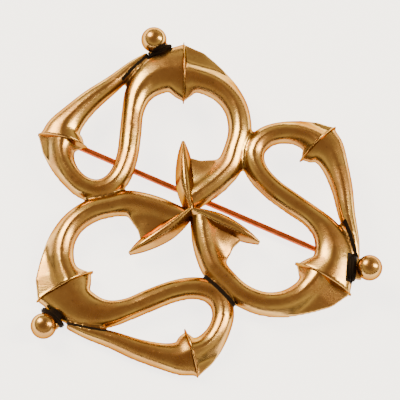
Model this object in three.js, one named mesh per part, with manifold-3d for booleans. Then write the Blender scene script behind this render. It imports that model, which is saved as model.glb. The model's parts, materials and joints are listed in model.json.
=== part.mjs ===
// A cast openwork brooch: three equal curling lobes round a centre, each with a ball knob,
// and a wire pin on a hinge behind.
// Millimetres, +Z up. The brooch lies on its back, face up, with its lowest point at zero height.
import * as THREE from "three";
import { mergeVertices } from "three/addons/utils/BufferGeometryUtils.js";
import Module from "manifold-3d";

const wasm = await Module();
wasm.setup();

// Driving sizes of the casting
const LOBE_COUNT = 3;
const LOBE_REACH = 30; // centre of the brooch to the centre of a knob
const CREST_HEIGHT = 2.5; // flat back to the crest of a plain bar
const EDGE_HEIGHT = 0.7; // the upright edge of every bar
const KNOB_RADIUS = 2.1;
const KNOB_LIFT = 2.2; // flat back to the middle of a knob
const NECK_HALF_WIDTH = 1.95;
const NECK_HALF_HEIGHT = 1.35;
const NECK_LIFT = 1.2; // flat back to the middle of a neck
const NECK_ROOT = 2; // how far the cone of the neck runs back into the casting
const NECK_SINK = 0.45; // how far the neck runs into the ball
const COLLAR_HALF_WIDTH = 0.75;
const COLLAR_HEIGHT = 3.8;
const TIP_HEIGHT = 1.1; // crest height at the points of the collars
const TIP_HALF_WIDTH = 0.09;
const WEB_SHARE = 0.8; // height of the sloping web beside a round bar, as a share of the bar's crest
const WEB_BLEND = 4; // more makes the line between a bar and its web sharper
const FLARE_SPREAD = 0.5; // how much wider than its own round a bar runs out where it has a web
const LEAF_ROUNDING = 1.8; // 1 makes the slopes of a leaf straight, and more makes them bulge

// Driving sizes of the pin, its hinge and its catch
const PIN_RADIUS = 0.48;
const PIN_TAPER = 7;
const PIN_OVERRUN = 1.7; // the point runs this far past the middle of the catch
const PIN_POINT_RADIUS = 0.07;
const RIVET_RADIUS = 0.4;
const RIVET_HEAD_RADIUS = 0.75;
const RIVET_HEAD_HEIGHT = 0.35;
const RUNNING_CLEARANCE = 0.08; // between the rivet and the pieces it passes through
const SIDE_CLEARANCE = 0.15; // between the pin and the plates beside it
const EYE_WALL = 0.57;
const EYE_SHOULDER = 0.05; // the eye is this much wider than the wire on each side
const LUG_THICKNESS = 0.8;
const LUG_WALL = 0.55; // metal round the rivet hole
const CATCH_THICKNESS = 0.8;
const CATCH_LENGTH = 2.6;
const CATCH_LIP = 0.35; // how far the catch reaches below the pin
const ROOTING = 0.4; // how deep lugs and catch run into the casting

// Sizes that follow
const PLAN = LOBE_REACH / 30; // the plan below is drawn in thirtieths of the reach
const SHARE = CREST_HEIGHT / 2.5;
const EYE_BORE = RIVET_RADIUS + RUNNING_CLEARANCE;
const EYE_RADIUS = EYE_BORE + EYE_WALL;
const PIN_DROP = EYE_RADIUS + SIDE_CLEARANCE; // flat back down to the middle of the pin
const GAP_HALF = PIN_RADIUS + EYE_SHOULDER + SIDE_CLEARANCE; // half the slot of the hinge and of the catch
const LUG_RADIUS = EYE_BORE + LUG_WALL;
const GEAR_DROP = PIN_DROP + Math.max(LUG_RADIUS, PIN_RADIUS + CATCH_LIP);
const GEAR_HALF = GAP_HALF + Math.max(LUG_THICKNESS, CATCH_THICKNESS);

// One lobe in plan. Each station: crest place, reach of the bar to the left and right of its course,
// half width of its round back to the left and right, and crest height.
const ARM = [
  [-6.9, 26.5, 0.45, 0.45, 0.45, 0.45, 1.5],
  [-9.3, 24.4, 1.0, 1.0, 1.0, 1.0, 2.0],
  [-12.5, 21.4, 1.35, 1.4, 1.35, 1.4, 2.3],
  [-15.9, 18.8, 1.85, 1.6, 1.8, 1.6, 2.45],
  [-18.8, 16.0, 2.4, 1.9, 2.2, 1.9, 2.5],
  [-20.4, 13.6, 3.0, 2.7, 2.6, 2.7, 2.6],
  [-20.55, 11.7, 3.8, 3.9, 3.3, 3.6, 2.7],
];
const CURL = [
  [-20.55, 11.7, 3.8, 3.9, 2.0, 2.1, 2.75],
  [-20.7, 10.0, 2.4, 2.9, 1.7, 1.7, 2.6],
  [-20.3, 8.0, 1.95, 2.2, 1.7, 1.7, 2.5],
  [-19.1, 5.8, 1.7, 1.8, 1.7, 1.7, 2.5],
  [-17.3, 4.1, 1.7, 1.8, 1.7, 1.7, 2.5],
  [-15.0, 3.4, 1.75, 1.9, 1.75, 1.75, 2.5],
  [-12.9, 4.1, 1.75, 1.9, 1.75, 1.75, 2.5],
  [-11.2, 6.1, 1.7, 1.85, 1.7, 1.7, 2.5],
  [-10.1, 9.3, 1.7, 1.75, 1.7, 1.7, 2.5],
  [-9.6, 13.1, 1.75, 1.75, 1.75, 1.75, 2.5],
  [-9.25, 16.7, 1.75, 1.75, 1.75, 1.75, 2.5],
  [-8.4, 19.8, 2.2, 2.2, 2.2, 2.2, 2.6],
  [-6.6, 22.2, 3.0, 2.9, 2.9, 2.8, 2.7],
  [-4.1, 23.5, 3.8, 3.3, 3.6, 3.2, 2.8],
  [-1.1, 23.7, 4.8, 4.9, 4.4, 4.3, 2.9],
];
const BOW = [
  [-1.1, 22.8, 5.7, 4.0, 2.2, 2.3, 2.8],
  [1.2, 22.5, 4.6, 2.3, 1.8, 2.1, 2.6],
  [3.5, 21.7, 3.1, 2.1, 1.75, 1.9, 2.5],
  [5.8, 19.9, 2.3, 1.95, 1.8, 1.8, 2.5],
  [7.4, 17.2, 1.95, 1.9, 1.8, 1.8, 2.5],
  [7.85, 13.8, 1.9, 1.9, 1.8, 1.8, 2.5],
  [7.1, 10.6, 2.0, 1.85, 1.8, 1.8, 2.5],
  [6.3, 7.9, 1.95, 2.45, 1.8, 1.9, 2.5],
  [4.8, 6.0, 2.0, 4.1, 1.8, 1.8, 2.5],
  [3.0, 4.3, 2.0, 6.7, 1.8, 1.8, 2.5],
  [1.2, 2.9, 1.9, 5.9, 1.8, 1.8, 2.5],
  [-0.6, 1.6, 1.9, 5.5, 1.8, 1.8, 2.4],
];
// The leaf where the bow ends. Each station: crest place, reach to the left and right, and crest height.
const LEAF = [
  [-1.2, 11.9, 0.25, 0.25, 1.1],
  [-1.2, 9.8, 1.05, 0.85, 2.2],
  [-1.1, 7.2, 1.5, 1.3, 2.8],
  [-0.85, 4.6, 1.7, 1.5, 3.0],
  [-0.5, 2.2, 1.4, 1.2, 3.0],
  [0.0, 0.0, 0.8, 0.8, 2.9],
];
const CORNER_COLLAR = [[-24.3, 12.7], [-16.5, 10.6]];
const OUTER_COLLAR = [[-1.1, 28.7], [-1.15, 18.5]];
const NECK_FOOT = [-4.8, 26.55];
const KNOB_PLACES = [[-6.0, 28.95], [-6.0, 29.15], [-5.85, 30.2]]; // hand-fitted, so each lobe has its own
const HINGE_PLACE = [-20.4, 12.5];
const CATCH_PLACE = [-5.7, 22.6];

const UP = new THREE.Vector3(0, 0, 1);
const RINGS_PER_STATION = 2;
const SIDES = 8; // facets over the round of a bar
const LEAF_SIDES = 4;
const COLLAR_RINGS = 12;
const COLLAR_FULLNESS = 0.8; // under 1 fills out the ends of a collar
const BELOW = 1; // how far solids run below the flat back before it is cut
const TURN = (2 * Math.PI) / LOBE_COUNT;

function planPoint([x, y], height = 0) {
  return new THREE.Vector3(x * PLAN, y * PLAN, height);
}

function solidOf(geometry) {
  geometry.deleteAttribute("normal");
  geometry.deleteAttribute("uv");
  const merged = mergeVertices(geometry, 1e-4);
  return new wasm.Manifold(
    new wasm.Mesh({
      numProp: 3,
      vertProperties: new Float32Array(merged.attributes.position.array),
      triVerts: new Uint32Array(merged.index.array),
    }),
  );
}

function geometryOf(solid) {
  const { vertProperties, triVerts } = solid.getMesh();
  const geometry = new THREE.BufferGeometry();
  geometry.setAttribute("position", new THREE.BufferAttribute(vertProperties, 3));
  geometry.setIndex(new THREE.BufferAttribute(triVerts, 1));
  geometry.computeVertexNormals();
  return geometry;
}

function joined(solids) {
  return solids.reduce((whole, solid) => whole.add(solid));
}

// Lays a block along a course. place(share) gives its middle, direction, reach to each side
// and a function for the height of its top at a distance to the left.
function laid(along, sides, place) {
  const block = new THREE.BoxGeometry(2, 1, 1, sides, 1, along);
  const points = block.attributes.position;
  for (let i = 0; i < points.count; i++) {
    const share = points.getZ(i) + 0.5;
    const side = points.getX(i);
    const { middle, direction, left, right, top } = place(share);
    const spread = Math.sin((Math.abs(side) * Math.PI) / 2);
    const offset = side > 0 ? spread * left : -spread * right;
    const height = points.getY(i) > 0 ? top(offset, spread) : -BELOW;
    points.setXYZ(i, middle.x - direction.y * offset, middle.y + direction.x * offset, height);
  }
  return block;
}

// A direction across the line between two plan points, on the side that the course runs to.
function across([from, to], course) {
  const line = planPoint(to).sub(planPoint(from)).normalize();
  const direction = new THREE.Vector3(-line.y, line.x, 0);
  return direction.dot(course) < 0 ? direction.negate() : direction;
}

function smooth(stations, pick) {
  const points = stations.map((station) => new THREE.Vector3(...pick(station)));
  return new THREE.CatmullRomCurve3(points, false, "catmullrom");
}

// A bar: round along its crest, with a lower sloping web where it spreads towards a collar.
// Its ends stand square to the collars or the leaf that they meet.
function bar(stations, startLine, endLine) {
  const course = smooth(stations, ([x, y]) => [x * PLAN, y * PLAN, 0]);
  const reach = smooth(stations, ([, , left, right]) => [left * PLAN, right * PLAN, 0]);
  const back = smooth(stations, ([, , , , left, right, crest]) => [left, right, crest * SHARE]);
  const spans = stations.length - 1;
  return laid(RINGS_PER_STATION * spans, SIDES, (share) => {
    const direction = course.getTangent(share);
    const fromStart = share * spans;
    const fromEnd = (1 - share) * spans;
    if (startLine && fromStart < 1) direction.lerp(across(startLine, direction), 1 - fromStart);
    if (endLine && fromEnd < 1) direction.lerp(across(endLine, direction), 1 - fromEnd);
    direction.normalize();
    const { x: left, y: right } = reach.getPoint(share);
    const { x: roundLeft, y: roundRight, z: crest } = back.getPoint(share);
    const top = (offset, spread) => {
      const [half, edge] = offset > 0 ? [roundLeft, left] : [roundRight, right];
      const flare = Math.min(1, 2 * Math.max(0, edge / PLAN / half - 1));
      const inRound = Math.min(1, Math.abs(offset) / (half * PLAN * (1 + FLARE_SPREAD * flare)));
      const tube = (crest - EDGE_HEIGHT) * (1 - inRound * inRound) ** (0.5 + flare);
      const web = (crest * WEB_SHARE - EDGE_HEIGHT) * (1 - spread);
      return EDGE_HEIGHT + (tube ** WEB_BLEND + web ** WEB_BLEND) ** (1 / WEB_BLEND);
    };
    return { middle: course.getPoint(share), direction, left, right, top };
  });
}

// A collar: a sharp ridge between two points of the plan, pointed at its ends.
function collar([from, to]) {
  const start = planPoint(from);
  const end = planPoint(to);
  const direction = end.clone().sub(start).normalize();
  return laid(COLLAR_RINGS, 2, (share) => {
    const swell = Math.sin(Math.PI * share) ** COLLAR_FULLNESS;
    const half = Math.max(TIP_HALF_WIDTH, COLLAR_HALF_WIDTH * swell);
    const crest = TIP_HEIGHT + (COLLAR_HEIGHT - TIP_HEIGHT) * swell;
    const top = (offset, spread) => EDGE_HEIGHT + (crest - EDGE_HEIGHT) * (1 - spread);
    return { middle: start.clone().lerp(end, share), direction, left: half, right: half, top };
  });
}

// A leaf with a bulging back, from its tip to the centre of the brooch.
function leaf() {
  const course = smooth(LEAF, ([x, y]) => [x * PLAN, y * PLAN, 0]);
  const back = smooth(LEAF, ([, , left, right, crest]) => [left * PLAN, right * PLAN, crest * SHARE]);
  return laid(RINGS_PER_STATION * (LEAF.length - 1), LEAF_SIDES, (share) => {
    const { x: left, y: right, z: crest } = back.getPoint(share);
    const top = (offset, spread) => EDGE_HEIGHT + (crest - EDGE_HEIGHT) * (1 - spread ** LEAF_ROUNDING);
    return { middle: course.getPoint(share), direction: course.getTangent(share), left, right, top };
  });
}

// The ball knob on its neck, which is wider than high: a cone out of the casting, a groove and a ring.
function knob(place) {
  const centre = planPoint(place, KNOB_LIFT);
  const foot = planPoint(NECK_FOOT, KNOB_LIFT);
  const reach = centre.distanceTo(foot);
  const neckEnd = reach - KNOB_RADIUS + NECK_SINK;
  const ball = new THREE.SphereGeometry(KNOB_RADIUS, 16, 10).translate(0, reach, 0);
  const profile = [
    [0, -NECK_ROOT], [0.4, -NECK_ROOT], [0.96, 0], [0.9, 0.2 * neckEnd], [0.9, 0.55 * neckEnd],
    [1, 0.7 * neckEnd], [1, 0.85 * neckEnd], [0.85, neckEnd], [0, neckEnd],
  ].map(([radius, along]) => new THREE.Vector2(radius, along));
  const neck = new THREE.LatheGeometry(profile, 16).scale(NECK_HALF_WIDTH, 1, NECK_HALF_HEIGHT);
  neck.translate(0, 0, NECK_LIFT - KNOB_LIFT);
  const away = centre.clone().sub(foot).normalize();
  const turn = new THREE.Quaternion().setFromUnitVectors(new THREE.Vector3(0, 1, 0), away);
  const stand = new THREE.Matrix4().compose(foot, turn, new THREE.Vector3(1, 1, 1));
  return [ball, neck].map((geometry) => geometry.applyMatrix4(stand));
}

// The pieces of one lobe, turned to its place round the centre.
function lobe(i) {
  const leafLine = [LEAF[0], LEAF[LEAF.length - 1]];
  const pieces = [
    bar(ARM, null, CORNER_COLLAR),
    bar(CURL, CORNER_COLLAR, OUTER_COLLAR),
    bar(BOW, OUTER_COLLAR, leafLine),
    collar(CORNER_COLLAR),
    collar(OUTER_COLLAR),
    leaf(),
    ...knob(KNOB_PLACES[i % KNOB_PLACES.length]),
  ];
  return pieces.map((piece) => solidOf(piece.rotateZ(-TURN * i)));
}

// Pin gear is made along +X from the hinge axis, then turned to run from the hinge to the catch.
const hinge = planPoint(HINGE_PLACE, -PIN_DROP);
const catchPlace = planPoint(CATCH_PLACE, -PIN_DROP).applyAxisAngle(UP, -TURN);
const pinRun = hinge.distanceTo(catchPlace);
const pinDirection = catchPlace.clone().sub(hinge).normalize();
const rivetDirection = new THREE.Vector3().crossVectors(UP, pinDirection);
const gearPlace = new THREE.Matrix4().makeBasis(pinDirection, rivetDirection, UP).setPosition(hinge);

function gearSolid(geometry) {
  return solidOf(geometry.applyMatrix4(gearPlace));
}

// Two plates with round ends below the hinge axis.
function lugs() {
  const plate = new THREE.Shape();
  plate.moveTo(-LUG_RADIUS, PIN_DROP + ROOTING);
  plate.lineTo(-LUG_RADIUS, 0);
  plate.absarc(0, 0, LUG_RADIUS, Math.PI, 2 * Math.PI, false);
  plate.lineTo(LUG_RADIUS, PIN_DROP + ROOTING);
  plate.holes.push(new THREE.Path().absarc(0, 0, EYE_BORE, 0, 2 * Math.PI, true));
  const settings = { depth: LUG_THICKNESS, bevelEnabled: false, curveSegments: 16 };
  return [GAP_HALF + LUG_THICKNESS, -GAP_HALF].map((y) =>
    gearSolid(new THREE.ExtrudeGeometry(plate, settings).rotateX(Math.PI / 2).translate(0, y, 0)));
}

// A short trough that the pin drops into from below.
function catchTrough() {
  const half = GAP_HALF + CATCH_THICKNESS;
  const floor = GEAR_DROP - PIN_DROP;
  const corner = CATCH_THICKNESS / 2;
  const profile = new THREE.Shape();
  profile.moveTo(-half, PIN_DROP + ROOTING);
  profile.lineTo(-half, corner - floor);
  profile.absarc(-half + corner, corner - floor, corner, Math.PI, 2 * Math.PI, false);
  profile.lineTo(-GAP_HALF, 0);
  profile.absarc(0, 0, GAP_HALF, Math.PI, 0, true);
  profile.lineTo(GAP_HALF, corner - floor);
  profile.absarc(half - corner, corner - floor, corner, Math.PI, 2 * Math.PI, false);
  profile.lineTo(half, PIN_DROP + ROOTING);
  const settings = { depth: CATCH_LENGTH, bevelEnabled: false, curveSegments: 8 };
  const trough = new THREE.ExtrudeGeometry(profile, settings);
  trough.rotateX(Math.PI / 2).rotateZ(Math.PI / 2).translate(pinRun - CATCH_LENGTH / 2, 0, 0);
  return gearSolid(trough);
}

function pinSolid() {
  const halfEye = PIN_RADIUS + EYE_SHOULDER;
  const chamfer = EYE_WALL / 4;
  const eye = new THREE.LatheGeometry([
    [EYE_BORE, -halfEye], [EYE_RADIUS - chamfer, -halfEye], [EYE_RADIUS, chamfer - halfEye],
    [EYE_RADIUS, halfEye - chamfer], [EYE_RADIUS - chamfer, halfEye], [EYE_BORE, halfEye],
    [EYE_BORE, -halfEye],
  ].map(([radius, along]) => new THREE.Vector2(radius, along)), 28);
  const start = EYE_BORE + EYE_WALL / 2;
  const end = pinRun + PIN_OVERRUN;
  const wire = new THREE.LatheGeometry([
    [0, start], [PIN_RADIUS, start], [PIN_RADIUS, end - PIN_TAPER], [PIN_RADIUS * 0.82, end - PIN_TAPER / 2],
    [PIN_RADIUS * 0.5, end - PIN_TAPER / 8], [PIN_POINT_RADIUS, end], [0, end],
  ].map(([radius, along]) => new THREE.Vector2(radius, along)), 16).rotateZ(-Math.PI / 2);
  return joined([eye, wire].map(gearSolid));
}

function rivetSolid() {
  const head = GAP_HALF + LUG_THICKNESS + RUNNING_CLEARANCE;
  const tip = head + RIVET_HEAD_HEIGHT;
  return gearSolid(new THREE.LatheGeometry([
    [0, -tip], [RIVET_HEAD_RADIUS * 0.6, -tip], [RIVET_HEAD_RADIUS, -head - RIVET_HEAD_HEIGHT / 3],
    [RIVET_HEAD_RADIUS, -head], [RIVET_RADIUS, -head], [RIVET_RADIUS, head], [RIVET_HEAD_RADIUS, head],
    [RIVET_HEAD_RADIUS, head + RIVET_HEAD_HEIGHT / 3], [RIVET_HEAD_RADIUS * 0.6, tip], [0, tip],
  ].map(([radius, along]) => new THREE.Vector2(radius, along)), 20));
}

function frameSolid() {
  const lobes = Array.from({ length: LOBE_COUNT }, (_, i) => joined(lobe(i)));
  const depth = 2 * (KNOB_RADIUS + BELOW);
  const below = new THREE.BoxGeometry(4 * LOBE_REACH, 4 * LOBE_REACH, depth).translate(0, 0, -depth / 2);
  return joined([joined(lobes).subtract(solidOf(below)), ...lugs(), catchTrough()]);
}

function named(name, solid, color, roughness) {
  const material = new THREE.MeshStandardMaterial({ color, roughness, metalness: 1, flatShading: true });
  const mesh = new THREE.Mesh(geometryOf(solid), material);
  mesh.name = name;
  return mesh;
}

// The brooch rests on lugs, catch and the far edge of the casting, so it leans about the line of the pin
// until that edge is as low as the lugs and the catch.
function restingLean(frame) {
  const points = frame.geometry.attributes.position;
  const point = new THREE.Vector3();
  let lean = Math.PI / 2;
  for (let i = 0; i < points.count; i++) {
    point.fromBufferAttribute(points, i).sub(hinge);
    const far = -point.dot(rivetDirection) - GEAR_HALF;
    const above = point.z + GEAR_DROP - PIN_DROP;
    if (far > GEAR_HALF) lean = Math.min(lean, Math.atan2(above, far));
  }
  return lean;
}

const frame = named("frame", frameSolid(), 0xb5812f, 0.28);
const pin = named("pin", pinSolid(), 0xa8432b, 0.35);
const rivet = named("hinge_rivet", rivetSolid(), 0xa06a2a, 0.4);

const leaning = new THREE.Group();
leaning.add(frame, pin, rivet);
leaning.setRotationFromAxisAngle(pinDirection, restingLean(frame));

const brooch = new THREE.Group();
brooch.name = "brooch";
brooch.add(leaning);
brooch.updateMatrixWorld(true);
const box = new THREE.Box3().setFromObject(brooch, true);
const middle = box.getCenter(new THREE.Vector3());
leaning.position.set(-middle.x, -middle.y, -box.min.z);

export default brooch;
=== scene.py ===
"""A cast openwork brooch with a hinged wire pin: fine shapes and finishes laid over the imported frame.

Shapes are drawn in millimetres in the plan of the brooch, with the flat back at zero height and the
middle of the three lobes at the origin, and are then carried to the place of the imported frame.
"""

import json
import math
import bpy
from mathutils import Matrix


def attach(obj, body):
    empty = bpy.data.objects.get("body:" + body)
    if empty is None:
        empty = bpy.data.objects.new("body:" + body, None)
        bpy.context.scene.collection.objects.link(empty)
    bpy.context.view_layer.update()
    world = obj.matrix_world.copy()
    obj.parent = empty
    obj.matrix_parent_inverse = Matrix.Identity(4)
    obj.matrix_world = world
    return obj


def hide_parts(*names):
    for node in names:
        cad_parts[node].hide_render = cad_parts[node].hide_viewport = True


bl_info = {
    "name": "Openwork brooch",
    "version": (1, 0, 0),
    "blender": (4, 5, 0),
    "location": "3D View > Sidebar > Brooch",
    "description": "Builds a cast brooch of three curling lobes with its pin, hinge and catch",
    "category": "Object",
}

import bmesh
import bpy
from mathutils import Matrix, Vector

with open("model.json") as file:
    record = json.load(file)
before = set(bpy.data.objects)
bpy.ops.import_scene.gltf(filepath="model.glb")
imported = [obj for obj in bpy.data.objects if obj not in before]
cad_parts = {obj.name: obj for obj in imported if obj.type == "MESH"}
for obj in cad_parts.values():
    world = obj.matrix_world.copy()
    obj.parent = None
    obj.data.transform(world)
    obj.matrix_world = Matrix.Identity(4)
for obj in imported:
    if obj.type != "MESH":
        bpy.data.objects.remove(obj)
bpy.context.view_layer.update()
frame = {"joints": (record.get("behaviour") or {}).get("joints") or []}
MM = 0.001
UP = Vector((0, 0, 1))

LOBE_COUNT = 3
TURN = 2 * math.pi / LOBE_COUNT

# One lobe in plan. Each station: crest place x and y, reach of the bar to the left and right of its
# course, half width of its round back to the left and right, and crest height.
ARM = [
    (-6.9, 26.5, 0.45, 0.45, 0.45, 0.45, 1.5),
    (-9.3, 24.4, 1.0, 1.0, 1.0, 1.0, 2.0),
    (-12.5, 21.4, 1.35, 1.4, 1.35, 1.4, 2.3),
    (-15.9, 18.8, 1.85, 1.6, 1.8, 1.6, 2.45),
    (-18.8, 16.0, 2.4, 1.9, 2.2, 1.9, 2.5),
    (-20.4, 13.6, 3.0, 2.7, 2.6, 2.7, 2.6),
    (-20.55, 11.7, 3.8, 3.9, 3.3, 3.6, 2.7),
]
CURL = [
    (-20.55, 11.7, 3.8, 3.9, 2.0, 2.1, 2.75),
    (-20.7, 10.0, 2.4, 2.9, 1.7, 1.7, 2.6),
    (-20.3, 8.0, 1.95, 2.2, 1.7, 1.7, 2.5),
    (-19.1, 5.8, 1.7, 1.8, 1.7, 1.7, 2.5),
    (-17.3, 4.1, 1.7, 1.8, 1.7, 1.7, 2.5),
    (-15.0, 3.4, 1.75, 1.9, 1.75, 1.75, 2.5),
    (-12.9, 4.1, 1.75, 1.9, 1.75, 1.75, 2.5),
    (-11.2, 6.1, 1.7, 1.85, 1.7, 1.7, 2.5),
    (-10.1, 9.3, 1.7, 1.75, 1.7, 1.7, 2.5),
    (-9.6, 13.1, 1.75, 1.75, 1.75, 1.75, 2.5),
    (-9.25, 16.7, 1.75, 1.75, 1.75, 1.75, 2.5),
    (-8.4, 19.8, 2.2, 2.2, 2.2, 2.2, 2.6),
    (-6.6, 22.2, 3.0, 2.9, 2.9, 2.8, 2.7),
    (-4.1, 23.5, 3.8, 3.3, 3.6, 3.2, 2.8),
    (-1.1, 23.7, 4.8, 4.9, 4.4, 4.3, 2.9),
]
BOW = [
    (-1.1, 22.8, 5.7, 4.0, 2.2, 2.3, 2.8),
    (1.2, 22.5, 4.6, 2.3, 1.8, 2.1, 2.6),
    (3.5, 21.7, 3.1, 2.1, 1.75, 1.9, 2.5),
    (5.8, 19.9, 2.3, 1.95, 1.8, 1.8, 2.5),
    (7.4, 17.2, 1.95, 1.9, 1.8, 1.8, 2.5),
    (7.85, 13.8, 1.9, 1.9, 1.8, 1.8, 2.5),
    (7.1, 10.6, 2.0, 1.85, 1.8, 1.8, 2.5),
    (6.3, 7.9, 1.95, 2.45, 1.8, 1.9, 2.5),
    (4.8, 6.0, 2.0, 4.1, 1.8, 1.8, 2.5),
    (3.0, 4.3, 2.0, 6.7, 1.8, 1.8, 2.5),
    (1.2, 2.9, 1.9, 5.9, 1.8, 1.8, 2.5),
    (-0.6, 1.6, 1.9, 5.5, 1.8, 1.8, 2.4),
]
# The leaf where the bow ends. Each station: crest place, reach to the left and right, and crest height.
LEAF = [
    (-1.2, 11.9, 0.25, 0.25, 1.1),
    (-1.2, 9.8, 1.05, 0.85, 2.2),
    (-1.1, 7.2, 1.5, 1.3, 2.8),
    (-0.85, 4.6, 1.7, 1.5, 3.0),
    (-0.5, 2.2, 1.4, 1.2, 3.0),
    (0.0, 0.0, 0.8, 0.8, 2.9),
]
CORNER_COLLAR = ((-24.3, 12.7), (-16.5, 10.6))
OUTER_COLLAR = ((-1.1, 28.7), (-1.15, 18.5))
# The knobs are placed one by one, so the foot of the neck and the ball have their own places on each lobe.
NECK_FEET = ((-4.8, 26.55), (-4.45, 26.0), (-4.65, 27.4))
KNOB_PLACES = ((-5.97, 28.55), (-6.0, 29.15), (-5.62, 30.07))
KNOB_LIFT = 2.23
HINGE_PLACE = (-20.4, 12.5)
CATCH_PLACE = (-5.7, 22.6)

# Lines in plan along which dark tarnish gathers, each with its half width and its strength on each lobe.
SEAM_DARK = ((-10.9, 21.9), (-9.6, 23.5), (-8.2, 25.0), (-6.8, 26.4))
TOUCH_DARK = ((-17.2, 1.85), (-14.0, 2.7), (-10.6, 3.6))
DARK_LINES = [
    (SEAM_DARK, 0.30, (0.7, 1.0, 0.8)),
    (TOUCH_DARK, 0.42, (0.2, 0.4, 1.0)),
]


class BroochSizes(bpy.types.PropertyGroup):
    edge_height: bpy.props.FloatProperty(
        name="Edge height", description="Height of the upright edge of every bar",
        default=0.7 * MM, min=0.3 * MM, max=1.2 * MM, precision=5, subtype="DISTANCE",
    )
    knob_radius: bpy.props.FloatProperty(
        name="Knob radius", description="Radius of the ball at the end of each lobe",
        default=2.04 * MM, min=1.2 * MM, max=2.1 * MM, precision=5, subtype="DISTANCE",
    )
    collar_half_width: bpy.props.FloatProperty(
        name="Collar half width", description="Half the thickness of the pointed collars",
        default=0.75 * MM, min=0.3 * MM, max=1.2 * MM, precision=5, subtype="DISTANCE",
    )
    collar_height: bpy.props.FloatProperty(
        name="Collar height", description="Height of the crest of the pointed collars",
        default=3.8 * MM, min=2.5 * MM, max=3.9 * MM, precision=5, subtype="DISTANCE",
    )
    pin_radius: bpy.props.FloatProperty(
        name="Pin radius", description="Radius of the wire of the pin",
        default=0.48 * MM, min=0.3 * MM, max=0.48 * MM, precision=5, subtype="DISTANCE",
    )
    grain: bpy.props.FloatProperty(
        name="Casting grain", description="Size of the cells that the casting is fused from",
        default=0.235 * MM, min=0.22 * MM, max=0.5 * MM, precision=5, subtype="DISTANCE",
    )


class BroochFinish(bpy.types.PropertyGroup):
    gold: bpy.props.FloatVectorProperty(
        name="Bronze", description="Colour of the polished bronze",
        default=(0.87, 0.55, 0.185), min=0, max=1, subtype="COLOR",
    )
    brown: bpy.props.FloatVectorProperty(
        name="Warm bronze", description="Colour of the bronze where it has toned",
        default=(0.60, 0.29, 0.10), min=0, max=1, subtype="COLOR",
    )
    edge: bpy.props.FloatVectorProperty(
        name="Edge tint", description="Tint of the metals where they are seen at a flat angle",
        default=(0.36, 0.20, 0.07), min=0, max=1, subtype="COLOR",
    )
    tarnish: bpy.props.FloatVectorProperty(
        name="Tarnish", description="Colour of the dark tarnish in the creases",
        default=(0.010, 0.008, 0.009), min=0, max=1, subtype="COLOR",
    )
    copper: bpy.props.FloatVectorProperty(
        name="Copper", description="Colour of the wire of the pin",
        default=(0.85, 0.20, 0.07), min=0, max=1, subtype="COLOR",
    )
    # Painted shade: the colour that the metals are darkened to on their upright sides and undersides.
    sides: bpy.props.FloatVectorProperty(
        name="Sides", description="Colour that the metals deepen to on their upright sides and behind",
        default=(0.24, 0.115, 0.03), min=0, max=1, subtype="COLOR",
    )
    shine: bpy.props.FloatProperty(
        name="Roughness", description="Roughness of the polished bronze",
        default=0.2, min=0.05, max=0.6, subtype="FACTOR",
    )


# Places

def in_plan(point, height=0.0):
    return Vector((point[0], point[1], height))


def turned(point, turn):
    return Matrix.Rotation(turn, 3, "Z") @ point


PIN_JOINT = frame["joints"][0]
PIN_DROP = 1.2
HINGE = in_plan(HINGE_PLACE, -PIN_DROP)
CATCH = turned(in_plan(CATCH_PLACE, -PIN_DROP), -TURN)
PIN_RUN = (CATCH - HINGE).length
PIN_ALONG = (CATCH - HINGE).normalized()
RIVET_ALONG = UP.cross(PIN_ALONG)


def basis(x, y, z, place=Vector()):
    return Matrix.Translation(place) @ Matrix((x, y, z)).transposed().to_4x4()


def plan_to_row():
    """The brooch leans on its pin gear, so the plan is turned about the pin to meet the hinge."""
    rivet = Vector(PIN_JOINT["axis"]).normalized()
    along = (PIN_ALONG - rivet * PIN_ALONG.dot(rivet)).normalized()
    there = basis(along, rivet, along.cross(rivet), Vector(PIN_JOINT["pos_m"]))
    here = basis(PIN_ALONG, RIVET_ALONG, UP, HINGE)
    return there @ Matrix.Scale(MM, 4) @ here.inverted()


TO_ROW = plan_to_row()
GEAR_PLACE = basis(PIN_ALONG, RIVET_ALONG, UP, HINGE)


# Shapes

STEP = 0.002  # share of a course over which its direction is measured


def course(stations, share):
    """Every value of the stations at a share of the way along a smooth course through them."""
    spans = len(stations) - 1
    at = min(max(share, 0.0), 1.0) * spans
    i = min(int(at), spans - 1)
    t = at - i
    second, third = stations[i], stations[i + 1]
    first = stations[i - 1] if i > 0 else [2 * a - b for a, b in zip(second, third)]
    fourth = stations[i + 2] if i + 2 <= spans else [2 * b - a for a, b in zip(second, third)]
    values = []
    for a, b, c, d in zip(first, second, third, fourth):
        start, end = (c - a) / 2, (d - b) / 2
        values.append(
            b + start * t + (3 * (c - b) - 2 * start - end) * t * t + (2 * (b - c) + start + end) * t**3
        )
    return values


def faces_of(verts):
    """Every face on the vertices, once, in their order."""
    return list(dict.fromkeys(f for v in verts for f in v.link_faces))


def heading(stations, share):
    """The direction in which a course runs at a share of its way."""
    ahead = course(stations, min(share + STEP, 1))
    behind = course(stations, max(share - STEP, 0))
    return Vector((ahead[0] - behind[0], ahead[1] - behind[1], 0)).normalized()


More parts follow.
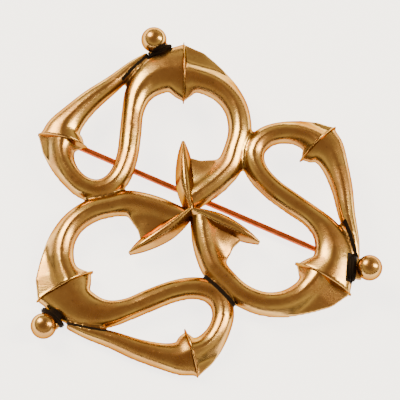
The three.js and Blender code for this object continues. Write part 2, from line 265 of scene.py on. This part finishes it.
def laid(bm, sides, along, place, bottom=0.0):
    """Adds a strip with a flat bottom. place(share) gives its middle, direction, reach to the left and
    right, and a function for the height of its top."""
    made = bmesh.ops.create_grid(bm, x_segments=sides, y_segments=along, size=1)
    risen = bmesh.ops.extrude_face_region(bm, geom=faces_of(made["verts"]))
    tops = {v for v in risen["geom"] if isinstance(v, bmesh.types.BMVert)}
    rows = {}
    for vert in tops.union(made["verts"]):
        rows.setdefault(round(vert.co.y, 5), []).append(vert)
    for level, verts in rows.items():
        middle, direction, left, right, top = place((level + 1) / 2)
        for vert in verts:
            side = vert.co.x
            spread = math.sin(abs(side) * math.pi / 2)
            offset = spread * (left if side > 0 else -right)
            vert.co = middle + Vector((-direction.y, direction.x, 0)) * offset
            vert.co.z = top(offset, spread) if vert in tops else bottom


def across(line, direction):
    """The direction across a collar, on the side that the bar runs to."""
    run = (in_plan(line[1]) - in_plan(line[0])).normalized()
    square = Vector((-run.y, run.x, 0))
    return square if square.dot(direction) > 0 else -square


WEB_SHARE = 0.8  # height of the sloping web beside a round bar, as a share of the bar's crest
WEB_BLEND = 4  # more makes the line between a bar and its web sharper
FLARE_SPREAD = 0.5  # how much wider than its own round a bar runs out where it has a web
BAR_SIDES = 44
RINGS_PER_STATION = 9


def add_bar(bm, stations, edge, start_line, end_line, turn):
    spans = len(stations) - 1

    def place(share):
        x, y, left, right, round_left, round_right, crest = course(stations, share)
        direction = heading(stations, share)
        for line, off in ((start_line, share * spans), (end_line, (1 - share) * spans)):
            if line and off < 1:
                direction = direction.lerp(across(line, direction), 1 - off).normalized()

        def top(offset, spread):
            half, reach = (round_left, left) if offset > 0 else (round_right, right)
            flare = min(1, 2 * max(0, reach / half - 1))
            within = min(1, abs(offset) / (half * (1 + FLARE_SPREAD * flare)))
            tube = (crest - edge) * (1 - within * within) ** (0.5 + flare)
            web = (crest * WEB_SHARE - edge) * (1 - spread)
            return edge + (tube**WEB_BLEND + web**WEB_BLEND) ** (1 / WEB_BLEND)

        return turned(Vector((x, y, 0)), turn), turned(direction, turn), left, right, top

    laid(bm, BAR_SIDES, RINGS_PER_STATION * spans, place)


TIP_HEIGHT = 1.1
TIP_HALF_WIDTH = 0.09
COLLAR_FULLNESS = 0.8  # under 1 fills out the ends of a collar
COLLAR_SIDES = 12
COLLAR_RINGS = 48
LEAF_ROUNDING = 1.8  # 1 makes the slopes of a leaf straight, and more makes them bulge
LEAF_SIDES = 16
LEAF_RINGS = 44
ABOVE_BACK = 0.06  # keeps the bottoms of collars and leaves out of the flat back


def add_collar(bm, line, half_width, height, edge, turn):
    start, end = (turned(in_plan(p), turn) for p in line)
    direction = (end - start).normalized()

    def place(share):
        swell = max(math.sin(math.pi * share), 0) ** COLLAR_FULLNESS
        half = max(TIP_HALF_WIDTH, half_width * swell)
        crest = TIP_HEIGHT + (height - TIP_HEIGHT) * swell

        def top(offset, spread):
            return edge + (crest - edge) * (1 - spread)

        return start.lerp(end, share), direction, half, half, top

    laid(bm, COLLAR_SIDES, COLLAR_RINGS, place, ABOVE_BACK)


def add_leaf(bm, edge, turn):
    def place(share):
        x, y, left, right, crest = course(LEAF, share)

        def top(offset, spread):
            return edge + (crest - edge) * (1 - spread**LEAF_ROUNDING)

        direction = heading(LEAF, share)
        return turned(Vector((x, y, 0)), turn), turned(direction, turn), left, right, top

    laid(bm, LEAF_SIDES, LEAF_RINGS, place, ABOVE_BACK)


def spun(bm, profile, place, steps):
    """Spins a profile of (radius, along) about the Z axis, then puts the shape in place."""
    verts = [bm.verts.new((radius, 0, along)) for radius, along in profile]
    edges = [bm.edges.new(pair) for pair in zip(verts, verts[1:])]
    if profile[0][0] > 0:
        edges.append(bm.edges.new((verts[-1], verts[0])))
    before = set(bm.verts) - set(verts)
    bmesh.ops.spin(
        bm, geom=verts + edges, cent=(0, 0, 0), axis=(0, 0, 1),
        angle=2 * math.pi, steps=steps, use_merge=True,
    )
    made = [v for v in bm.verts if v not in before]
    bmesh.ops.remove_doubles(bm, verts=made, dist=1e-5)
    made = [v for v in bm.verts if v not in before]
    bmesh.ops.recalc_face_normals(bm, faces=faces_of(made))
    bmesh.ops.transform(bm, matrix=place, verts=made)


NECK_HALF_WIDTH = 2.25
NECK_HALF_HEIGHT = 1.15
NECK_LIFT = 1.2
NECK_ROOT = 2.0  # how far the cone of a neck runs back into the casting
NECK_ROOT_SHARE = 0.4  # width of the end of that cone
NECK_SINK = 0.9  # how far a neck runs into its ball
# Width and place along a neck, each as a share: ribs first, then the ring under the ball.
NECK = [
    (0.55, 0.0), (0.92, 0.12), (1.0, 0.2), (1.0, 0.26), (0.94, 0.3), (0.94, 0.34),
    (1.0, 0.38), (1.0, 0.44), (0.95, 0.49), (0.95, 0.54), (0.9, 0.58),
    (0.78, 0.62), (0.78, 0.66), (0.8, 0.74), (0.8, 0.9), (0.76, 1.0),
]
NECK_BAND = (0.0, 0.58)  # the dark part of a neck
NECK_STEPS = 64
BALL_SEGMENTS = (48, 32)


def neck_of(lobe, knob_radius):
    """Where a neck starts, which way it runs, its length, and the middle of its ball, in plan."""
    turn = -TURN * lobe
    end = turned(in_plan(KNOB_PLACES[lobe % len(KNOB_PLACES)], NECK_LIFT), turn)
    foot = turned(in_plan(NECK_FEET[lobe % len(NECK_FEET)], NECK_LIFT), turn)
    away = end - foot
    length = away.length - knob_radius + NECK_SINK
    return foot, away.normalized(), length, end + UP * (KNOB_LIFT - NECK_LIFT)


def add_knob(bm, lobe, radius):
    foot, away, length, centre = neck_of(lobe, radius)
    place = basis(UP.cross(away) * NECK_HALF_WIDTH, UP * NECK_HALF_HEIGHT, away, foot)
    profile = [(0, -NECK_ROOT), (NECK_ROOT_SHARE, -NECK_ROOT)]
    profile += [(share, along * length) for share, along in NECK]
    spun(bm, profile + [(0, length)], place, NECK_STEPS)
    around, down = BALL_SEGMENTS
    bmesh.ops.create_uvsphere(
        bm, u_segments=around, v_segments=down, radius=radius, matrix=Matrix.Translation(centre),
    )


UPRIGHT = (0.4, 0.88)  # upward part of the normal: a side below the first, and face up above the second; sides and undersides get painted shade


def piece(name, bm, body, nodes, material):
    """Turns a mesh into a finished piece in the place of nodes of the frame, and marks its upright sides and
    underside for painted shade.
    """
    bmesh.ops.recalc_face_normals(bm, faces=bm.faces[:])
    bm.normal_update()
    # how far each place faces sideways or down, for the painted shade on sides and undersides
    upright = bm.verts.layers.float.new("upright")
    for vert in bm.verts:
        vert[upright] = 1 - smoothstep(*UPRIGHT, vert.normal.z)
    bmesh.ops.transform(bm, matrix=TO_ROW, verts=bm.verts[:])
    mesh = bpy.data.meshes.new(name)
    bm.to_mesh(mesh)
    bm.free()
    mesh.polygons.foreach_set("use_smooth", [True] * len(mesh.polygons))
    obj = bpy.data.objects.new(name, mesh)
    bpy.context.scene.collection.objects.link(obj)
    mesh.materials.append(material)
    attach(obj, body)
    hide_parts(*nodes)


def fused(bm, grain):
    """Fuses overlapping closed shapes into one skin."""
    mesh = bpy.data.meshes.new("fusing")
    bm.to_mesh(mesh)
    bm.free()
    obj = bpy.data.objects.new("fusing", mesh)
    bpy.context.scene.collection.objects.link(obj)
    remesh = obj.modifiers.new("skin", "REMESH")
    remesh.mode = "VOXEL"
    remesh.voxel_size = grain
    remesh.adaptivity = 0
    graph = bpy.context.evaluated_depsgraph_get()
    skin = bpy.data.meshes.new_from_object(obj.evaluated_get(graph))
    bpy.data.objects.remove(obj)
    bpy.data.meshes.remove(mesh)
    out = bmesh.new()
    out.from_mesh(skin)
    bpy.data.meshes.remove(skin)
    return out


def line_distance(point, line):
    best = 1e9
    for a, b in zip(line, line[1:]):
        a, b = Vector(a), Vector(b)
        run = b - a
        share = min(max((point - a).dot(run) / run.length_squared, 0), 1)
        best = min(best, (point - (a + run * share)).length)
    return best


def smoothstep(low, high, value):
    t = min(max((value - low) / (high - low), 0), 1)
    return t * t * (3 - 2 * t)


HOLLOW = (0.002, 0.016)  # how far a place lies below those round it, in mm, to start and to be a crease
HOLLOW_ROUNDS = 4
SEAM_LIFT = 0.3  # seams show only above this height
SEAM_FADE = (0.6, 1.3)  # shares of a seam's half width where its tarnish starts to fade and ends
BAND_REACH = 1.1
BAND_FADE = (0.12, 0.08)


def mark_crease_shade_and_tarnish(bm, knob_radius):
    """Writes how dark each place is: creases where bars meet, darkened partly as toning of the bronze and
    partly as painted shade, and the tarnish of the bands of the necks and the seams.
    """
    crease = bm.verts.layers.float.new("crease")
    dark = bm.verts.layers.float.new("dark")
    bm.normal_update()
    hollow = {}
    for vert in bm.verts:
        near = [e.other_vert(vert) for e in vert.link_edges]
        if near:
            mean = sum((v.co for v in near), Vector()) / len(near)
            hollow[vert] = (mean - vert.co).dot(vert.normal)
    for _ in range(HOLLOW_ROUNDS):
        hollow = {
            vert: (value + sum(hollow[e.other_vert(vert)] for e in vert.link_edges))
            / (1 + len(vert.link_edges))
            for vert, value in hollow.items()
        }
    turns = [Matrix.Rotation(TURN * i, 3, "Z") for i in range(LOBE_COUNT)]
    necks = [neck_of(i, knob_radius) for i in range(LOBE_COUNT)]
    for vert in bm.verts:
        vert[crease] = smoothstep(*HOLLOW, hollow.get(vert, 0))
        value = 0.0
        if vert.co.z > SEAM_LIFT:
            for i, back in enumerate(turns):
                place = (back @ vert.co).to_2d()
                for line, half, strengths in DARK_LINES:
                    start, end = (half * share for share in SEAM_FADE)
                    faded = smoothstep(start, end, line_distance(place, line))
                    value = max(value, strengths[i] * (1 - faded))
        for foot, away, length, _ in necks:
            off = vert.co - foot
            along = off.dot(away) / length
            if (off - away * off.dot(away)).length < NECK_HALF_WIDTH * BAND_REACH:
                band = smoothstep(NECK_BAND[0] - BAND_FADE[0], NECK_BAND[0], along)
                value = max(value, band * (1 - smoothstep(NECK_BAND[1], NECK_BAND[1] + BAND_FADE[1], along)))
        vert[dark] = value


# Finishes

class Maths:
    """A shader value: arithmetic on it adds the nodes that work it out."""

    def __init__(self, finish, socket):
        self.finish = finish
        self.socket = socket

    def _with(self, operation, first, second):
        return self.finish.maths(operation, first, second)

    def __add__(self, other):
        return self._with("ADD", self, other)

    __radd__ = __add__

    def __mul__(self, other):
        return self._with("MULTIPLY", self, other)

    __rmul__ = __mul__

    def __sub__(self, other):
        return self._with("SUBTRACT", self, other)

    def __rsub__(self, other):
        return self._with("SUBTRACT", other, self)


class Finish:
    """A metal finish and the nodes that make it."""

    def __init__(self, name):
        self.material = bpy.data.materials.new(name)
        self.material.use_nodes = True
        self.tree = self.material.node_tree
        self.shader = self.tree.nodes["Principled BSDF"]
        self.shader.inputs["Metallic"].default_value = 1.0

    def node(self, kind, settings=None, **inputs):
        """Adds any node, with its settings first and then the values or links of its sockets."""
        node = self.tree.nodes.new(kind)
        for key, value in (settings or {}).items():
            setattr(node, key, value)
        for key, value in inputs.items():
            self.put(node.inputs[int(key[1:]) if key[1:].isdigit() else key.replace("_", " ")], value)
        return node

    def put(self, socket, value):
        if isinstance(value, Maths):
            value = value.socket
        if isinstance(value, bpy.types.NodeSocket):
            self.tree.links.new(value, socket)
        else:
            socket.default_value = value

    def maths(self, operation, first, second):
        made = self.node("ShaderNodeMath", {"operation": operation}, _0=first, _1=second)
        return Maths(self, made.outputs[0])

    def value(self, socket):
        return Maths(self, socket)

    def places(self):
        return self.node("ShaderNodeTexCoord").outputs["Object"]

    def noise(self, scale, detail=3.0, roughness=0.5, stretch=None):
        places = self.places()
        if stretch:
            places = self.node("ShaderNodeMapping", Vector=places, Scale=stretch).outputs["Vector"]
        made = self.node(
            "ShaderNodeTexNoise", {"noise_dimensions": "3D"},
            Vector=places, Scale=scale, Detail=detail, Roughness=roughness,
        )
        return self.value(made.outputs["Fac"])

    def attribute(self, name):
        made = self.node("ShaderNodeAttribute", {"attribute_name": name, "attribute_type": "GEOMETRY"})
        return self.value(made.outputs["Fac"])

    def step(self, value, low, high):
        made = self.node(
            "ShaderNodeMapRange", {"interpolation_type": "SMOOTHSTEP", "clamp": True},
            Value=value, From_Min=low, From_Max=high, To_Min=0.0, To_Max=1.0,
        )
        return self.value(made.outputs["Result"])

    def blend(self, share, first, second):
        settings = {"data_type": "RGBA", "clamp_factor": True}
        return self.node("ShaderNodeMix", settings, _0=share, _6=first, _7=second).outputs[2]

    def bump(self, height, depth, strength):
        made = self.node("ShaderNodeBump", Strength=strength, Distance=depth, Height=height)
        self.put(self.shader.inputs["Normal"], made.outputs["Normal"])


def shade(color, share=1.0):
    """A colour with its alpha, darkened to a share."""
    return (*(part * share for part in color), 1.0)


def bronze(finish, marked):
    """Polished golden bronze, toned in broad clouds, with painted shade on its upright sides and undersides,
    darker brown in creases (partly toning of the bronze, partly painted shade), and black where tarnish is
    marked.
    """
    made = Finish("polished_bronze" if marked else "plain_bronze")
    clouds = made.step(made.noise(230.0, 3.0), 0.36, 0.62)
    specks = made.step(made.noise(1500.0, 2.0), 0.66, 0.74)
    upright = made.attribute("upright")
    made.shader.inputs["Specular Tint"].default_value = shade(finish.edge)
    color = made.blend(clouds * 0.75, shade(finish.gold), shade(finish.brown))
    color = made.blend(specks * 0.35, color, shade(finish.brown, 0.35))
    # painted shade: the upright sides and undersides are darkened toward the sides colour
    color = made.blend(upright * 0.85, color, shade(finish.sides))
    rough = clouds * 0.08 + made.noise(900.0, 2.0) * 0.12 + (finish.shine - 0.06)
    if marked:
        crease = made.attribute("crease")
        ragged = made.noise(1300.0, 3.0)
        dark = made.attribute("dark")
        worn = made.step(dark + (ragged - 0.5) * 0.5, 0.35, 0.6)
        # creases darken to a deep brown: partly toning of the bronze, partly painted shade
        toned = made.step(crease + (ragged - 0.5) * 0.3, 0.25, 1.0)
        color = made.blend(toned * 0.85, color, shade(finish.brown, 0.22))
        color = made.blend(worn, color, shade(finish.tarnish))
        rough = rough + toned * 0.12 + worn * 0.35
        made.put(made.shader.inputs["Metallic"], 1 - worn * 0.7)
    made.put(made.shader.inputs["Base Color"], color)
    made.put(made.shader.inputs["Roughness"], rough)
    scratches = made.noise(700.0, 2.0, 0.5, (1.0, 6.0, 1.0))
    made.bump(made.noise(420.0, 2.0) * 0.8 + scratches * 0.2, 0.00012, 0.35)
    return made.material


def copper(finish):
    """Smooth red copper in darker and lighter streaks, with painted shade on its upright sides and
    underside.
    """
    made = Finish("copper_wire")
    streaks = made.noise(500.0, 3.0)
    color = made.blend(made.step(streaks, 0.35, 0.7), shade(finish.copper), shade(finish.copper, 0.6))
    # painted shade: the upright sides and underside of the wire are darkened
    color = made.blend(made.attribute("upright") * 0.8, color, shade(finish.copper, 0.35))
    made.put(made.shader.inputs["Base Color"], color)
    made.put(made.shader.inputs["Roughness"], streaks * 0.2 + 0.3)
    made.shader.inputs["Specular Tint"].default_value = shade(finish.copper, 0.8)
    made.bump(streaks, 0.00005, 0.3)
    return made.material


# Operators

SMOOTH_ROUNDS = 2


class BROOCH_OT_casting(bpy.types.Operator):
    """Builds the three lobes, their collars, leaves, necks and knobs as one casting"""

    bl_idname = "brooch.casting"
    bl_label = "Casting"

    def execute(self, context):
        sizes = context.scene.brooch_sizes
        edge = sizes.edge_height / MM
        bm = bmesh.new()
        for i in range(LOBE_COUNT):
            turn = -TURN * i
            add_bar(bm, ARM, edge, None, CORNER_COLLAR, turn)
            add_bar(bm, CURL, edge, CORNER_COLLAR, OUTER_COLLAR, turn)
            add_bar(bm, BOW, edge, OUTER_COLLAR, (LEAF[0], LEAF[-1]), turn)
        bmesh.ops.recalc_face_normals(bm, faces=bm.faces[:])
        bm = fused(bm, sizes.grain / MM)
        for _ in range(SMOOTH_ROUNDS):
            bmesh.ops.smooth_vert(
                bm, verts=bm.verts[:], factor=0.5, use_axis_x=True, use_axis_y=True, use_axis_z=True,
            )
        for i in range(LOBE_COUNT):
            turn = -TURN * i
            half = sizes.collar_half_width / MM
            for collar in (CORNER_COLLAR, OUTER_COLLAR):
                add_collar(bm, collar, half, sizes.collar_height / MM, edge, turn)
            add_leaf(bm, edge, turn)
            add_knob(bm, i, sizes.knob_radius / MM)
        bmesh.ops.recalc_face_normals(bm, faces=bm.faces[:])
        mark_crease_shade_and_tarnish(bm, sizes.knob_radius / MM)
        material = bronze(context.scene.brooch_finish, True)
        piece("casting", bm, "frame", ["frame"], material)
        return {"FINISHED"}


RIVET_RADIUS = 0.4
EYE_BORE = 0.48
EYE_RADIUS = 1.05
GAP_HALF = 0.68  # half the slot of the hinge and of the catch
LUG_THICKNESS = 0.8
LUG_RADIUS = 1.03
LUG_STEPS = 32
LUG_SQUARING = 1.6  # how far the round of a lug is pushed out to its square root
ROOTING = 0.4  # how deep lugs and catch run into the casting
GEAR_TOP = PIN_DROP + ROOTING
CATCH_LENGTH = 2.6
CORNER_STEPS = 12
TROUGH_STEPS = 20
LUG_EASE = 0.06  # widths of the softened edges
CATCH_EASE = 0.08
ALONG_RIVET = Matrix.Rotation(-math.pi / 2, 4, "X")


def plate(bm, outline, place, thickness):
    """A flat outline given a thickness along Z, then put in place."""
    verts = [bm.verts.new((x, y, 0)) for x, y in outline]
    face = bm.faces.new(verts)
    risen = bmesh.ops.extrude_face_region(bm, geom=[face])
    tops = [v for v in risen["geom"] if isinstance(v, bmesh.types.BMVert)]
    bmesh.ops.translate(bm, vec=(0, 0, thickness), verts=tops)
    made = verts + tops
    bmesh.ops.recalc_face_normals(bm, faces=faces_of(made))
    bmesh.ops.transform(bm, matrix=place, verts=made)


def arc(centre, radius, start, end, steps):
    for i in range(steps + 1):
        angle = start + (end - start) * i / steps
        yield (centre[0] + radius * math.cos(angle), centre[1] + radius * math.sin(angle))


def eased(bm, width):
    """Rounds the sharp edges a little."""
    edges = [e for e in bm.edges if len(e.link_faces) == 2 and e.calc_face_angle(0) > 0.7]
    bmesh.ops.bevel(
        bm, geom=edges, offset=width, segments=2, profile=0.5, affect="EDGES", material=-1,
        clamp_overlap=True,
    )


class BROOCH_OT_gear(bpy.types.Operator):
    """Builds the two lugs of the hinge and the open catch on the back"""

    bl_idname = "brooch.gear"
    bl_label = "Hinge lugs and catch"

    def execute(self, context):
        material = bronze(context.scene.brooch_finish, False)
        upright = Matrix.Rotation(math.pi / 2, 4, "X")
        for name, side in (("hinge_lug_left", -1), ("hinge_lug_right", 1)):
            beside = Matrix.Translation((0, side * (GAP_HALF + LUG_THICKNESS / 2), 0))
            bm = bmesh.new()
            bored_plate(bm, GEAR_PLACE @ beside @ upright)
            piece(name, bm, "frame", ["frame"], material)
        bm = bmesh.new()
        half = GAP_HALF + LUG_THICKNESS
        corner = LUG_THICKNESS / 2
        low = corner - LUG_RADIUS
        outline = [(-half, GEAR_TOP), (-half, low)]
        outline += list(arc((-half + corner, low), corner, math.pi, 2 * math.pi, CORNER_STEPS))
        outline += list(arc((0, 0), GAP_HALF, math.pi, 0, TROUGH_STEPS))
        outline += list(arc((half - corner, low), corner, math.pi, 2 * math.pi, CORNER_STEPS))
        outline += [(half, GEAR_TOP)]
        along = Matrix.Translation((PIN_RUN - CATCH_LENGTH / 2, 0, 0))
        turn = Matrix.Rotation(math.pi / 2, 4, "Z")
        plate(bm, outline, GEAR_PLACE @ along @ turn @ upright, CATCH_LENGTH)
        eased(bm, CATCH_EASE)
        piece("pin_catch", bm, "frame", ["frame"], material)
        return {"FINISHED"}


def bored_plate(bm, place):
    """A lug: a plate with a round end and a hole for the rivet."""
    circle = [2 * math.pi * i / LUG_STEPS for i in range(LUG_STEPS)]
    outer = []
    for angle in circle:
        x, y = LUG_RADIUS * math.cos(angle), LUG_RADIUS * math.sin(angle)
        if y > 0:
            x = LUG_RADIUS * max(-1, min(1, LUG_SQUARING * math.cos(angle)))
            y = GEAR_TOP * min(1, LUG_SQUARING * math.sin(angle))
        outer.append((x, y))
    bore = [(EYE_BORE * math.cos(angle), EYE_BORE * math.sin(angle)) for angle in circle]
    rims = []
    for height in (-LUG_THICKNESS / 2, LUG_THICKNESS / 2):
        for points in (outer, bore):
            ring = [bm.verts.new((x, y, height)) for x, y in points]
            rims.append([bm.edges.new(pair) for pair in zip(ring, ring[1:] + ring[:1])])
    for first, second in ((0, 1), (2, 3), (0, 2), (1, 3)):
        bmesh.ops.bridge_loops(bm, edges=rims[first] + rims[second])
    bmesh.ops.recalc_face_normals(bm, faces=bm.faces[:])
    eased(bm, LUG_EASE)
    bmesh.ops.transform(bm, matrix=place, verts=bm.verts[:])


EYE_SHOULDER = 0.05  # the eye is this much wider than the wire on each side
EYE_CHAMFER = 0.14
EYE_ROUNDING = 0.04
EYE_STEPS = 64
PIN_START = 0.285  # the wire starts this far past the bore, inside the wall of the eye
PIN_OVERRUN = 1.7  # the point runs this far past the middle of the catch
PIN_TAPER = 7.0
PIN_NARROWING = ((1.0,), (0.82,), (0.5,), (0.15,))  # shares of the radius along the taper
PIN_POINT = 1.6  # more gathers the rings of the taper at the point
PIN_RINGS = 12
PIN_STEPS = 24


class BROOCH_OT_pin(bpy.types.Operator):
    """Builds the wire pin with its flattened eye and tapered point"""

    bl_idname = "brooch.pin"
    bl_label = "Pin"

    def execute(self, context):
        radius = context.scene.brooch_sizes.pin_radius / MM
        half = radius + EYE_SHOULDER
        face = EYE_RADIUS - EYE_CHAMFER
        round_out = EYE_RADIUS - EYE_ROUNDING
        round_in = half - EYE_CHAMFER / 2
        eye = [
            (EYE_BORE, -half), (face, -half), (round_out, -round_in), (EYE_RADIUS, EYE_CHAMFER - half),
            (EYE_RADIUS, half - EYE_CHAMFER), (round_out, round_in), (face, half), (EYE_BORE, half),
        ]
        bm = bmesh.new()
        spun(bm, eye, GEAR_PLACE @ ALONG_RIVET, EYE_STEPS)
        start = EYE_BORE + PIN_START
        end = PIN_RUN + PIN_OVERRUN
        shares = [i / PIN_RINGS for i in range(1, PIN_RINGS + 1)]
        wire = [(0, start), (radius, start)]
        wire += [(radius, start + (end - PIN_TAPER - start) * share) for share in shares]
        wire += [
            (radius * course(PIN_NARROWING, share)[0], end - PIN_TAPER * (1 - share) ** PIN_POINT)
            for share in shares
        ]
        wire += [(0, end)]
        spun(bm, wire, GEAR_PLACE @ Matrix.Rotation(math.pi / 2, 4, "Y"), PIN_STEPS)
        piece("pin_wire", bm, "pin", ["pin"], copper(context.scene.brooch_finish))
        return {"FINISHED"}


RIVET_CLEARANCE = 0.08
RIVET_STEPS = 48
# The round of a hammered head: radius, and height above the lug.
RIVET_HEAD = ((0.75, 0.0), (0.72, 0.1), (0.62, 0.2), (0.45, 0.31), (0.25, 0.34), (0.0, 0.35))


class BROOCH_OT_rivet(bpy.types.Operator):
    """Builds the rivet of the hinge with its two hammered heads"""

    bl_idname = "brooch.rivet"
    bl_label = "Rivet"

    def execute(self, context):
        foot = GAP_HALF + LUG_THICKNESS + RIVET_CLEARANCE
        head = [(radius, foot + height) for radius, height in RIVET_HEAD]
        profile = [(radius, -along) for radius, along in reversed(head)]
        profile += [(RIVET_RADIUS, -foot), (RIVET_RADIUS, foot), *head]
        bm = bmesh.new()
        spun(bm, profile, GEAR_PLACE @ ALONG_RIVET, RIVET_STEPS)
        material = bronze(context.scene.brooch_finish, False)
        piece("rivet", bm, "frame", ["hinge_rivet"], material)
        return {"FINISHED"}


# The camera, in the plan of the brooch
VIEW_RIGHT = Vector((0.99880, 0.0, 0.04901))
VIEW_UP = Vector((-0.01629, 0.94315, 0.33197))
VIEW_BACK = Vector((-0.04622, -0.33237, 0.94202))
VIEW_DISTANCE = 1000.0
VIEW_LENS = 567.0
VIEW_ASIDE = (1.516, 2.152)
FLOOR_HALF = 1.5
LAMP_COLOR = (1.0, 0.86, 0.56)
# Brightness of the room by height: dark underneath, brightest at the walls and dim above.
ROOM_STOPS = (
    (0.0, (0.10, 0.06, 0.035, 1)), (0.22, (0.10, 0.06, 0.035, 1)), (0.36, (0.80, 0.66, 0.36, 1)),
    (0.48, (0.66, 0.53, 0.31, 1)), (0.64, (0.34, 0.26, 0.17, 1)), (0.80, (0.29, 0.19, 0.12, 1)),
    (0.97, (0.25, 0.15, 0.10, 1)),
)
ROOM_STRENGTH = 0.9


class BROOCH_OT_stage(bpy.types.Operator):
    """Builds the floor, the lights and the camera"""

    bl_idname = "brooch.stage"
    bl_label = "Stage"

    def execute(self, context):
        scene = context.scene
        bm = bmesh.new()
        bmesh.ops.create_grid(bm, x_segments=1, y_segments=1, size=FLOOR_HALF)
        mesh = bpy.data.meshes.new("floor")
        bm.to_mesh(mesh)
        bm.free()
        floor = bpy.data.objects.new("floor", mesh)
        scene.collection.objects.link(floor)
        paper = Finish("pale_paper")
        paper.shader.inputs["Metallic"].default_value = 0.0
        paper.shader.inputs["Roughness"].default_value = 0.9
        paper.shader.inputs["Base Color"].default_value = (0.90, 0.86, 0.80, 1)
        paper.shader.inputs["Emission Color"].default_value = (1.0, 0.98, 0.95, 1)
        paper.shader.inputs["Emission Strength"].default_value = 3.4
        mesh.materials.append(paper.material)
        self.light_sky(scene)
        soft_box("soft_box_left", (-0.35, 0.30, 0.40), (0.28, 0.28), 3.6)
        soft_box("soft_box_right", (0.42, 0.02, 0.34), (0.16, 0.30), 2.4)
        self.place_camera(scene)
        return {"FINISHED"}

    def light_sky(self, scene):
        world = bpy.data.worlds.new("studio")
        world.use_nodes = True
        scene.world = world
        tree = world.node_tree
        places = tree.nodes.new("ShaderNodeTexCoord")
        split = tree.nodes.new("ShaderNodeSeparateXYZ")
        ramp = tree.nodes.new("ShaderNodeValToRGB")
        tree.links.new(places.outputs["Generated"], split.inputs[0])
        tree.links.new(split.outputs["Z"], ramp.inputs[0])
        set_stops(ramp.color_ramp, ROOM_STOPS)
        sky = tree.nodes["Background"]
        tree.links.new(ramp.outputs["Color"], sky.inputs["Color"])
        sky.inputs["Strength"].default_value = ROOM_STRENGTH

    def place_camera(self, scene):
        data = bpy.data.cameras.new("camera")
        data.sensor_width = 36
        data.lens = VIEW_LENS
        data.clip_start = 0.05
        data.clip_end = 20
        camera = bpy.data.objects.new("camera", data)
        scene.collection.objects.link(camera)
        place = VIEW_BACK * VIEW_DISTANCE + VIEW_RIGHT * VIEW_ASIDE[0] + VIEW_UP * VIEW_ASIDE[1]
        rotation = TO_ROW.to_quaternion().to_matrix()
        axes = [rotation @ v for v in (VIEW_RIGHT, VIEW_UP, VIEW_BACK)]
        camera.matrix_world = basis(*axes, TO_ROW @ place)
        scene.camera = camera


def set_stops(ramp, stops):
    """Gives a new ramp its stops, each a place and a colour."""
    for element, (place, color) in zip(ramp.elements, (stops[0], stops[-1])):
        element.position = place
        element.color = color
    for place, color in stops[1:-1]:
        ramp.elements.new(place).color = color


def soft_box(name, place, size, power):
    """A square of warm light at a place in metres, turned to the brooch."""
    data = bpy.data.lights.new(name, "AREA")
    data.shape = "RECTANGLE"
    data.size, data.size_y = size
    data.energy = power
    data.color = LAMP_COLOR
    light = bpy.data.objects.new(name, data)
    bpy.context.scene.collection.objects.link(light)
    turn = Vector(place).to_track_quat("Z", "Y")
    light.matrix_world = Matrix.Translation(place) @ turn.to_matrix().to_4x4()


class BROOCH_PT_panel(bpy.types.Panel):
    """Lists the sizes, finishes and steps of the brooch"""

    bl_idname = "BROOCH_PT_panel"
    bl_label = "Openwork brooch"
    bl_space_type = "VIEW_3D"
    bl_region_type = "UI"
    bl_category = "Brooch"

    def draw(self, context):
        for group in (context.scene.brooch_sizes, context.scene.brooch_finish):
            column = self.layout.column()
            for key in group.__annotations__:
                column.prop(group, key)
        for operator in OPERATORS:
            self.layout.operator(operator.bl_idname)


OPERATORS = (BROOCH_OT_casting, BROOCH_OT_gear, BROOCH_OT_pin, BROOCH_OT_rivet, BROOCH_OT_stage)
CLASSES = (BroochSizes, BroochFinish, *OPERATORS, BROOCH_PT_panel)


def register():
    for cls in CLASSES:
        bpy.utils.register_class(cls)
    bpy.types.Scene.brooch_sizes = bpy.props.PointerProperty(type=BroochSizes)
    bpy.types.Scene.brooch_finish = bpy.props.PointerProperty(type=BroochFinish)


def unregister():
    del bpy.types.Scene.brooch_sizes
    del bpy.types.Scene.brooch_finish
    for cls in reversed(CLASSES):
        bpy.utils.unregister_class(cls)


def main():
    register()
    bpy.ops.brooch.casting()
    bpy.ops.brooch.gear()
    bpy.ops.brooch.pin()
    bpy.ops.brooch.rivet()
    bpy.ops.brooch.stage()


if __name__ == "__main__":
    main()
